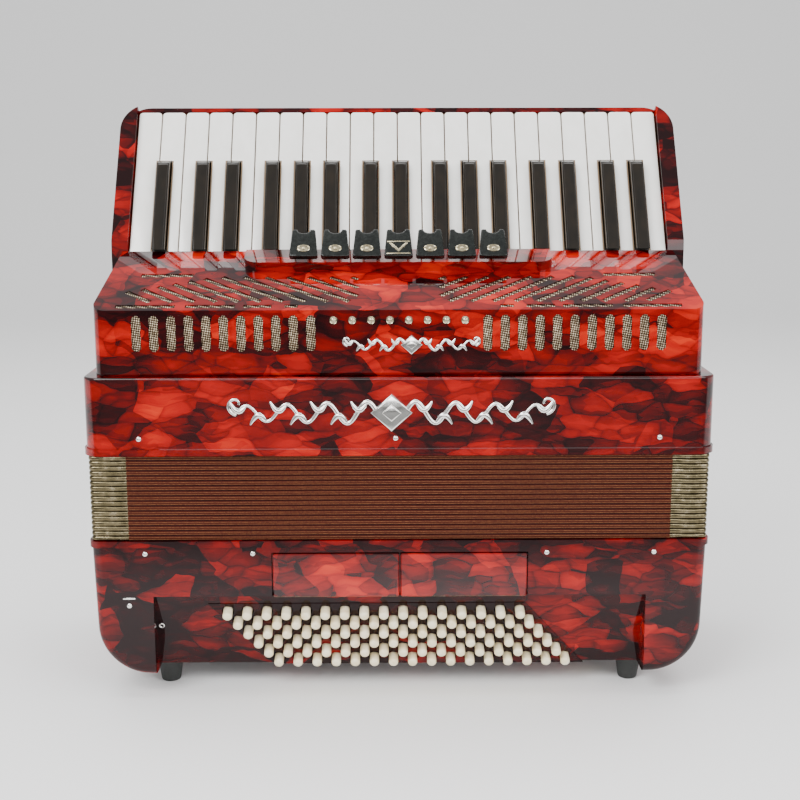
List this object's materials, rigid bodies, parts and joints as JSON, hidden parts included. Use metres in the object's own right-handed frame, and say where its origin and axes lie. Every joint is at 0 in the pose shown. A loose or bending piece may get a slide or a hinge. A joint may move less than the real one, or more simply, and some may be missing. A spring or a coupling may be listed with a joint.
{
  "type": "piano accordion",
  "caption": "Red marbled piano accordion standing on its bass feet, with a piano keyboard, slotted grille, register tablets, pleated bellows and slanting rows of bass buttons.",
  "frame": {"origin": "on the floor under the centre of the overall box, with the instrument standing on its bass feet", "axes": "+X along the keyboard towards the low notes, -Y the front that faces the audience, +Z from the bass end to the keyboard"},
  "size_m": [0.475, 0.2036, 0.4518],
  "materials": {
    "red_pearloid": "glossy marbled celluloid over wood",
    "white_celluloid": "polished white key covering on wood",
    "black_celluloid": "polished black key",
    "switch_black": "moulded black tablet",
    "button_ivory": "ivory-coloured button",
    "bellows_card": "maroon cloth over folded card",
    "black_rubber": "moulded rubber foot",
    "strap_leather": "black leather",
    "reed_block_wood": "plain spruce",
    "rod_steel": "drawn steel rod",
    "bracket_chrome": "chromed steel"
  },
  "bodies": {
    "bass_section": {"bass_case": "red_pearloid", "bass_feet": "black_rubber", "bass_strap": "strap_leather", "bass_reed_block": "reed_block_wood", "bellows": "bellows_card"},
    "treble_section": {"treble_case": "red_pearloid", "treble_grille": "red_pearloid", "keyboard_bed": "red_pearloid", "key_axle": "rod_steel", "treble_reed_block": "reed_block_wood", "strap_brackets": "bracket_chrome"},
    "white_key_01": {"white_key_01": "white_celluloid"},
    "white_key_02": {"white_key_02": "white_celluloid"},
    "white_key_03": {"white_key_03": "white_celluloid"},
    "white_key_04": {"white_key_04": "white_celluloid"},
    "white_key_05": {"white_key_05": "white_celluloid"},
    "white_key_06": {"white_key_06": "white_celluloid"},
    "white_key_07": {"white_key_07": "white_celluloid"},
    "white_key_08": {"white_key_08": "white_celluloid"},
    "white_key_09": {"white_key_09": "white_celluloid"},
    "white_key_10": {"white_key_10": "white_celluloid"},
    "white_key_11": {"white_key_11": "white_celluloid"},
    "white_key_12": {"white_key_12": "white_celluloid"},
    "white_key_13": {"white_key_13": "white_celluloid"},
    "white_key_14": {"white_key_14": "white_celluloid"},
    "white_key_15": {"white_key_15": "white_celluloid"},
    "white_key_16": {"white_key_16": "white_celluloid"},
    "white_key_17": {"white_key_17": "white_celluloid"},
    "white_key_18": {"white_key_18": "white_celluloid"},
    "white_key_19": {"white_key_19": "white_celluloid"},
    "white_key_20": {"white_key_20": "white_celluloid"},
    "white_key_21": {"white_key_21": "white_celluloid"},
    "white_key_22": {"white_key_22": "white_celluloid"},
    "black_key_01": {"black_key_01": "black_celluloid"},
    "black_key_02": {"black_key_02": "black_celluloid"},
    "black_key_03": {"black_key_03": "black_celluloid"},
    "black_key_04": {"black_key_04": "black_celluloid"},
    "black_key_05": {"black_key_05": "black_celluloid"},
    "black_key_06": {"black_key_06": "black_celluloid"},
    "black_key_07": {"black_key_07": "black_celluloid"},
    "black_key_08": {"black_key_08": "black_celluloid"},
    "black_key_09": {"black_key_09": "black_celluloid"},
    "black_key_10": {"black_key_10": "black_celluloid"},
    "black_key_11": {"black_key_11": "black_celluloid"},
    "black_key_12": {"black_key_12": "black_celluloid"},
    "black_key_13": {"black_key_13": "black_celluloid"},
    "black_key_14": {"black_key_14": "black_celluloid"},
    "black_key_15": {"black_key_15": "black_celluloid"},
    "register_switch_1": {"register_switch_1": "switch_black"},
    "register_switch_2": {"register_switch_2": "switch_black"},
    "register_switch_3": {"register_switch_3": "switch_black"},
    "register_switch_4": {"register_switch_4": "switch_black"},
    "register_switch_5": {"register_switch_5": "switch_black"},
    "register_switch_6": {"register_switch_6": "switch_black"},
    "register_switch_7": {"register_switch_7": "switch_black"},
    "bass_register_1": {"bass_register_1": "red_pearloid"},
    "bass_register_2": {"bass_register_2": "red_pearloid"},
    "bass_note_buttons": {"bass_note_buttons": "button_ivory"},
    "bass_chord_buttons": {"bass_chord_buttons": "button_ivory"},
    "air_button": {"air_button": "button_ivory"}
  },
  "joints": [
    {"name": "bellows_slide", "type": "slide", "parent": "bass_section", "child": "treble_section", "axis": [0, 0, 1], "range_m": [0, 0.3], "deforming": ["bellows"]},
    {"name": "white_key_01_hinge", "type": "hinge", "parent": "treble_section", "child": "white_key_01", "pos_m": [0, 0.00052, 0.32019], "axis": [-1, 0, 0], "range_deg": [0, 2], "stiffness_Nm_per_rad": 0.8, "springref_deg": -9.17},
    {"name": "white_key_02_hinge", "type": "hinge", "parent": "treble_section", "child": "white_key_02", "pos_m": [0, 0.00052, 0.32019], "axis": [-1, 0, 0], "range_deg": [0, 2], "stiffness_Nm_per_rad": 0.8, "springref_deg": -9.17},
    {"name": "white_key_03_hinge", "type": "hinge", "parent": "treble_section", "child": "white_key_03", "pos_m": [0, 0.00052, 0.32019], "axis": [-1, 0, 0], "range_deg": [0, 2], "stiffness_Nm_per_rad": 0.8, "springref_deg": -9.17},
    {"name": "white_key_04_hinge", "type": "hinge", "parent": "treble_section", "child": "white_key_04", "pos_m": [0, 0.00052, 0.32019], "axis": [-1, 0, 0], "range_deg": [0, 2], "stiffness_Nm_per_rad": 0.8, "springref_deg": -9.17},
    {"name": "white_key_05_hinge", "type": "hinge", "parent": "treble_section", "child": "white_key_05", "pos_m": [0, 0.00052, 0.32019], "axis": [-1, 0, 0], "range_deg": [0, 2], "stiffness_Nm_per_rad": 0.8, "springref_deg": -9.17},
    {"name": "white_key_06_hinge", "type": "hinge", "parent": "treble_section", "child": "white_key_06", "pos_m": [0, 0.00052, 0.32019], "axis": [-1, 0, 0], "range_deg": [0, 2], "stiffness_Nm_per_rad": 0.8, "springref_deg": -9.17},
    {"name": "white_key_07_hinge", "type": "hinge", "parent": "treble_section", "child": "white_key_07", "pos_m": [0, 0.00052, 0.32019], "axis": [-1, 0, 0], "range_deg": [0, 2], "stiffness_Nm_per_rad": 0.8, "springref_deg": -9.17},
    {"name": "white_key_08_hinge", "type": "hinge", "parent": "treble_section", "child": "white_key_08", "pos_m": [0, 0.00052, 0.32019], "axis": [-1, 0, 0], "range_deg": [0, 2], "stiffness_Nm_per_rad": 0.8, "springref_deg": -9.17},
    {"name": "white_key_09_hinge", "type": "hinge", "parent": "treble_section", "child": "white_key_09", "pos_m": [0, 0.00052, 0.32019], "axis": [-1, 0, 0], "range_deg": [0, 2], "stiffness_Nm_per_rad": 0.8, "springref_deg": -9.17},
    {"name": "white_key_10_hinge", "type": "hinge", "parent": "treble_section", "child": "white_key_10", "pos_m": [0, 0.00052, 0.32019], "axis": [-1, 0, 0], "range_deg": [0, 2], "stiffness_Nm_per_rad": 0.8, "springref_deg": -9.17},
    {"name": "white_key_11_hinge", "type": "hinge", "parent": "treble_section", "child": "white_key_11", "pos_m": [0, 0.00052, 0.32019], "axis": [-1, 0, 0], "range_deg": [0, 2], "stiffness_Nm_per_rad": 0.8, "springref_deg": -9.17},
    {"name": "white_key_12_hinge", "type": "hinge", "parent": "treble_section", "child": "white_key_12", "pos_m": [0, 0.00052, 0.32019], "axis": [-1, 0, 0], "range_deg": [0, 2], "stiffness_Nm_per_rad": 0.8, "springref_deg": -9.17},
    {"name": "white_key_13_hinge", "type": "hinge", "parent": "treble_section", "child": "white_key_13", "pos_m": [0, 0.00052, 0.32019], "axis": [-1, 0, 0], "range_deg": [0, 2], "stiffness_Nm_per_rad": 0.8, "springref_deg": -9.17},
    {"name": "white_key_14_hinge", "type": "hinge", "parent": "treble_section", "child": "white_key_14", "pos_m": [0, 0.00052, 0.32019], "axis": [-1, 0, 0], "range_deg": [0, 2], "stiffness_Nm_per_rad": 0.8, "springref_deg": -9.17},
    {"name": "white_key_15_hinge", "type": "hinge", "parent": "treble_section", "child": "white_key_15", "pos_m": [0, 0.00052, 0.32019], "axis": [-1, 0, 0], "range_deg": [0, 2], "stiffness_Nm_per_rad": 0.8, "springref_deg": -9.17},
    {"name": "white_key_16_hinge", "type": "hinge", "parent": "treble_section", "child": "white_key_16", "pos_m": [0, 0.00052, 0.32019], "axis": [-1, 0, 0], "range_deg": [0, 2], "stiffness_Nm_per_rad": 0.8, "springref_deg": -9.17},
    {"name": "white_key_17_hinge", "type": "hinge", "parent": "treble_section", "child": "white_key_17", "pos_m": [0, 0.00052, 0.32019], "axis": [-1, 0, 0], "range_deg": [0, 2], "stiffness_Nm_per_rad": 0.8, "springref_deg": -9.17},
    {"name": "white_key_18_hinge", "type": "hinge", "parent": "treble_section", "child": "white_key_18", "pos_m": [0, 0.00052, 0.32019], "axis": [-1, 0, 0], "range_deg": [0, 2], "stiffness_Nm_per_rad": 0.8, "springref_deg": -9.17},
    {"name": "white_key_19_hinge", "type": "hinge", "parent": "treble_section", "child": "white_key_19", "pos_m": [0, 0.00052, 0.32019], "axis": [-1, 0, 0], "range_deg": [0, 2], "stiffness_Nm_per_rad": 0.8, "springref_deg": -9.17},
    {"name": "white_key_20_hinge", "type": "hinge", "parent": "treble_section", "child": "white_key_20", "pos_m": [0, 0.00052, 0.32019], "axis": [-1, 0, 0], "range_deg": [0, 2], "stiffness_Nm_per_rad": 0.8, "springref_deg": -9.17},
    {"name": "white_key_21_hinge", "type": "hinge", "parent": "treble_section", "child": "white_key_21", "pos_m": [0, 0.00052, 0.32019], "axis": [-1, 0, 0], "range_deg": [0, 2], "stiffness_Nm_per_rad": 0.8, "springref_deg": -9.17},
    {"name": "white_key_22_hinge", "type": "hinge", "parent": "treble_section", "child": "white_key_22", "pos_m": [0, 0.00052, 0.32019], "axis": [-1, 0, 0], "range_deg": [0, 2], "stiffness_Nm_per_rad": 0.8, "springref_deg": -9.17},
    {"name": "black_key_01_hinge", "type": "hinge", "parent": "treble_section", "child": "black_key_01", "pos_m": [0, 0.00052, 0.32019], "axis": [-1, 0, 0], "range_deg": [0, 2], "stiffness_Nm_per_rad": 0.8, "springref_deg": -9.17},
    {"name": "black_key_02_hinge", "type": "hinge", "parent": "treble_section", "child": "black_key_02", "pos_m": [0, 0.00052, 0.32019], "axis": [-1, 0, 0], "range_deg": [0, 2], "stiffness_Nm_per_rad": 0.8, "springref_deg": -9.17},
    {"name": "black_key_03_hinge", "type": "hinge", "parent": "treble_section", "child": "black_key_03", "pos_m": [0, 0.00052, 0.32019], "axis": [-1, 0, 0], "range_deg": [0, 2], "stiffness_Nm_per_rad": 0.8, "springref_deg": -9.17},
    {"name": "black_key_04_hinge", "type": "hinge", "parent": "treble_section", "child": "black_key_04", "pos_m": [0, 0.00052, 0.32019], "axis": [-1, 0, 0], "range_deg": [0, 2], "stiffness_Nm_per_rad": 0.8, "springref_deg": -9.17},
    {"name": "black_key_05_hinge", "type": "hinge", "parent": "treble_section", "child": "black_key_05", "pos_m": [0, 0.00052, 0.32019], "axis": [-1, 0, 0], "range_deg": [0, 2], "stiffness_Nm_per_rad": 0.8, "springref_deg": -9.17},
    {"name": "black_key_06_hinge", "type": "hinge", "parent": "treble_section", "child": "black_key_06", "pos_m": [0, 0.00052, 0.32019], "axis": [-1, 0, 0], "range_deg": [0, 2], "stiffness_Nm_per_rad": 0.8, "springref_deg": -9.17},
    {"name": "black_key_07_hinge", "type": "hinge", "parent": "treble_section", "child": "black_key_07", "pos_m": [0, 0.00052, 0.32019], "axis": [-1, 0, 0], "range_deg": [0, 2], "stiffness_Nm_per_rad": 0.8, "springref_deg": -9.17},
    {"name": "black_key_08_hinge", "type": "hinge", "parent": "treble_section", "child": "black_key_08", "pos_m": [0, 0.00052, 0.32019], "axis": [-1, 0, 0], "range_deg": [0, 2], "stiffness_Nm_per_rad": 0.8, "springref_deg": -9.17},
    {"name": "black_key_09_hinge", "type": "hinge", "parent": "treble_section", "child": "black_key_09", "pos_m": [0, 0.00052, 0.32019], "axis": [-1, 0, 0], "range_deg": [0, 2], "stiffness_Nm_per_rad": 0.8, "springref_deg": -9.17},
    {"name": "black_key_10_hinge", "type": "hinge", "parent": "treble_section", "child": "black_key_10", "pos_m": [0, 0.00052, 0.32019], "axis": [-1, 0, 0], "range_deg": [0, 2], "stiffness_Nm_per_rad": 0.8, "springref_deg": -9.17},
    {"name": "black_key_11_hinge", "type": "hinge", "parent": "treble_section", "child": "black_key_11", "pos_m": [0, 0.00052, 0.32019], "axis": [-1, 0, 0], "range_deg": [0, 2], "stiffness_Nm_per_rad": 0.8, "springref_deg": -9.17},
    {"name": "black_key_12_hinge", "type": "hinge", "parent": "treble_section", "child": "black_key_12", "pos_m": [0, 0.00052, 0.32019], "axis": [-1, 0, 0], "range_deg": [0, 2], "stiffness_Nm_per_rad": 0.8, "springref_deg": -9.17},
    {"name": "black_key_13_hinge", "type": "hinge", "parent": "treble_section", "child": "black_key_13", "pos_m": [0, 0.00052, 0.32019], "axis": [-1, 0, 0], "range_deg": [0, 2], "stiffness_Nm_per_rad": 0.8, "springref_deg": -9.17},
    {"name": "black_key_14_hinge", "type": "hinge", "parent": "treble_section", "child": "black_key_14", "pos_m": [0, 0.00052, 0.32019], "axis": [-1, 0, 0], "range_deg": [0, 2], "stiffness_Nm_per_rad": 0.8, "springref_deg": -9.17},
    {"name": "black_key_15_hinge", "type": "hinge", "parent": "treble_section", "child": "black_key_15", "pos_m": [0, 0.00052, 0.32019], "axis": [-1, 0, 0], "range_deg": [0, 2], "stiffness_Nm_per_rad": 0.8, "springref_deg": -9.17},
    {"name": "register_switch_1_hinge", "type": "hinge", "parent": "treble_section", "child": "register_switch_1", "pos_m": [0, -0.03991, 0.33466], "axis": [-1, 0, 0], "range_deg": [0, 10], "stiffness_Nm_per_rad": 0.05, "springref_deg": -28.65},
    {"name": "register_switch_2_hinge", "type": "hinge", "parent": "treble_section", "child": "register_switch_2", "pos_m": [0, -0.03991, 0.33466], "axis": [-1, 0, 0], "range_deg": [0, 10], "stiffness_Nm_per_rad": 0.05, "springref_deg": -28.65},
    {"name": "register_switch_3_hinge", "type": "hinge", "parent": "treble_section", "child": "register_switch_3", "pos_m": [0, -0.03991, 0.33466], "axis": [-1, 0, 0], "range_deg": [0, 10], "stiffness_Nm_per_rad": 0.05, "springref_deg": -28.65},
    {"name": "register_switch_4_hinge", "type": "hinge", "parent": "treble_section", "child": "register_switch_4", "pos_m": [0, -0.03991, 0.33466], "axis": [-1, 0, 0], "range_deg": [0, 10], "stiffness_Nm_per_rad": 0.05, "springref_deg": -28.65},
    {"name": "register_switch_5_hinge", "type": "hinge", "parent": "treble_section", "child": "register_switch_5", "pos_m": [0, -0.03991, 0.33466], "axis": [-1, 0, 0], "range_deg": [0, 10], "stiffness_Nm_per_rad": 0.05, "springref_deg": -28.65},
    {"name": "register_switch_6_hinge", "type": "hinge", "parent": "treble_section", "child": "register_switch_6", "pos_m": [0, -0.03991, 0.33466], "axis": [-1, 0, 0], "range_deg": [0, 10], "stiffness_Nm_per_rad": 0.05, "springref_deg": -28.65},
    {"name": "register_switch_7_hinge", "type": "hinge", "parent": "treble_section", "child": "register_switch_7", "pos_m": [0, -0.03991, 0.33466], "axis": [-1, 0, 0], "range_deg": [0, 10], "stiffness_Nm_per_rad": 0.05, "springref_deg": -28.65},
    {"name": "bass_register_1_hinge", "type": "hinge", "parent": "bass_section", "child": "bass_register_1", "pos_m": [0, -0.09875, 0.1155], "axis": [1, 0, 0], "range_deg": [0, 3], "stiffness_Nm_per_rad": 0.3, "springref_deg": -17.19},
    {"name": "bass_register_2_hinge", "type": "hinge", "parent": "bass_section", "child": "bass_register_2", "pos_m": [0, -0.09875, 0.1155], "axis": [1, 0, 0], "range_deg": [0, 3], "stiffness_Nm_per_rad": 0.3, "springref_deg": -17.19},
    {"name": "bass_note_buttons_press", "type": "slide", "parent": "bass_section", "child": "bass_note_buttons", "axis": [0, 0.9397, 0.342], "range_m": [0, 0.004], "stiffness_N_per_m": 400, "springref_m": -0.006},
    {"name": "bass_chord_buttons_press", "type": "slide", "parent": "bass_section", "child": "bass_chord_buttons", "axis": [0, 0.9397, 0.342], "range_m": [0, 0.004], "stiffness_N_per_m": 400, "springref_m": -0.006},
    {"name": "air_button_press", "type": "slide", "parent": "bass_section", "child": "air_button", "axis": [0, 0, 1], "range_m": [0, 0.004], "stiffness_N_per_m": 300, "springref_m": -0.006}
  ]
}
